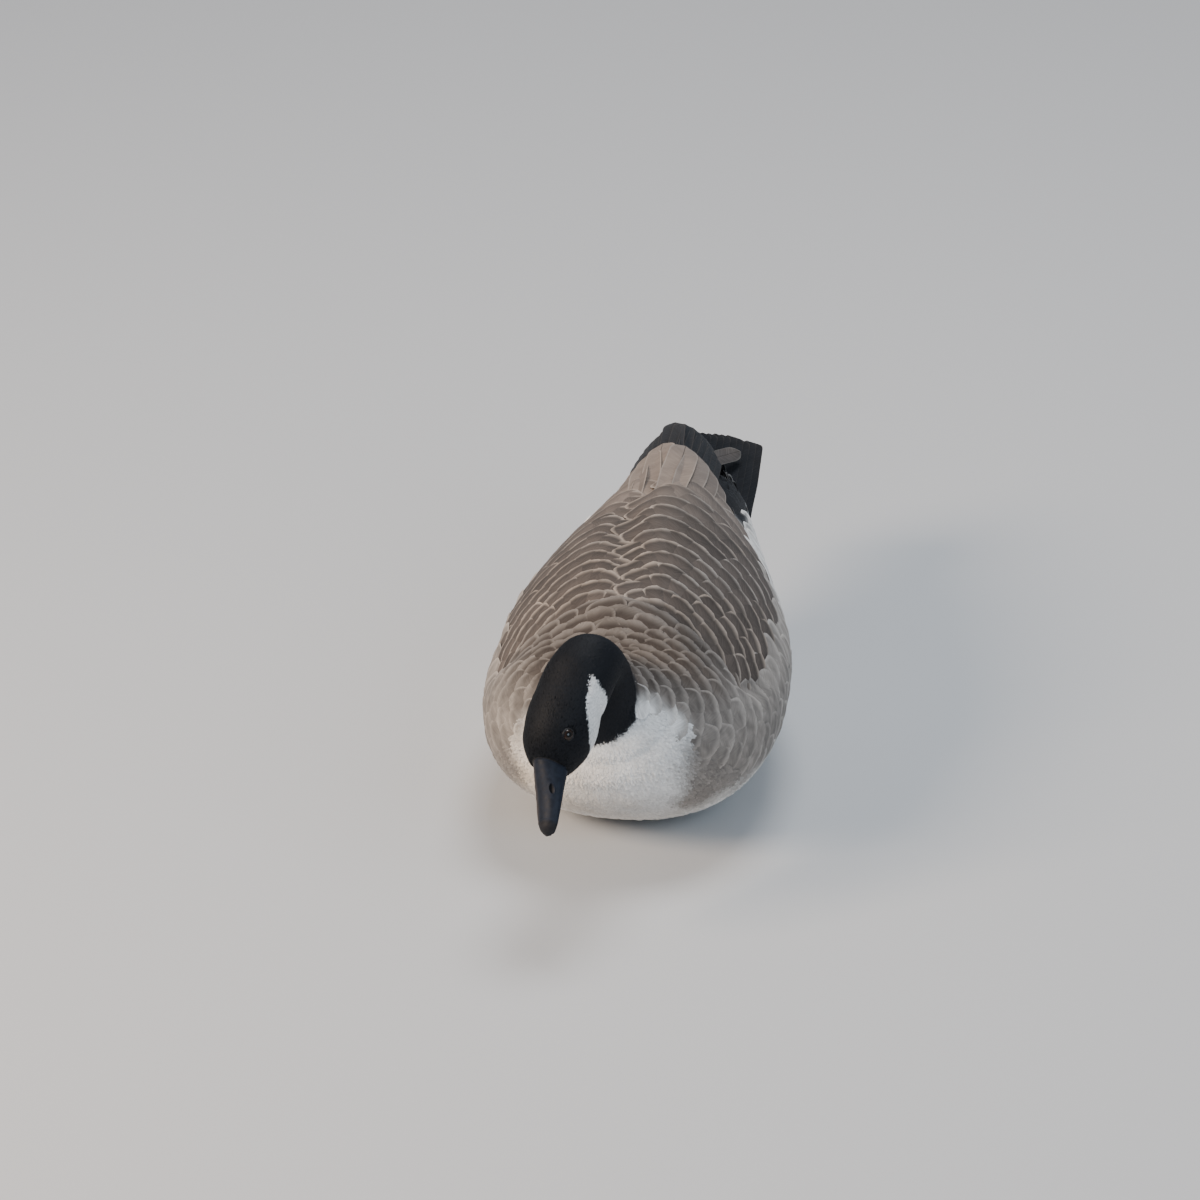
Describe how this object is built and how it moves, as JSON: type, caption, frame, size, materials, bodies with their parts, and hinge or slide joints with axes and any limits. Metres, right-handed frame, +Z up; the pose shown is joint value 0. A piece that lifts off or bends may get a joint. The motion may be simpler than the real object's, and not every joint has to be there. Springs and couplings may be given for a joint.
{
  "type": "canada goose",
  "caption": "Life-size still goose resting on its belly, neck arched low with the bill pointing down, wings folded and feet tucked under.",
  "frame": {"origin": "middle of the flat under the belly, in the plane of the floor", "axes": "+Z up; the goose faces -Y, its left side is +X, and its tail points to +Y"},
  "size_m": [0.2434, 0.7099, 0.2227],
  "materials": {
    "body_plumage": "matte feathers, grey-brown with a pale breast and belly",
    "black_plumage": "fine black feathers with a faint blue gloss and a white cheek patch",
    "wing_feathers": "brown feathers with pale edges, black at the tips",
    "tail_feathers": "black tail feathers",
    "bill_horn": "black satin horn",
    "eye": "dark brown, glossy and wet-looking",
    "leg_skin": "black scaly skin"
  },
  "bodies": {
    "root": {"torso": "body_plumage", "neck": "black_plumage", "head": "black_plumage", "tail": "tail_feathers", "wing_left": "wing_feathers", "wing_right": "wing_feathers", "bill_upper": "bill_horn", "bill_lower": "bill_horn", "eye_left": "eye", "eye_right": "eye", "leg_left": "leg_skin", "leg_right": "leg_skin", "foot_left": "leg_skin", "foot_right": "leg_skin"}
  },
  "joints": []
}
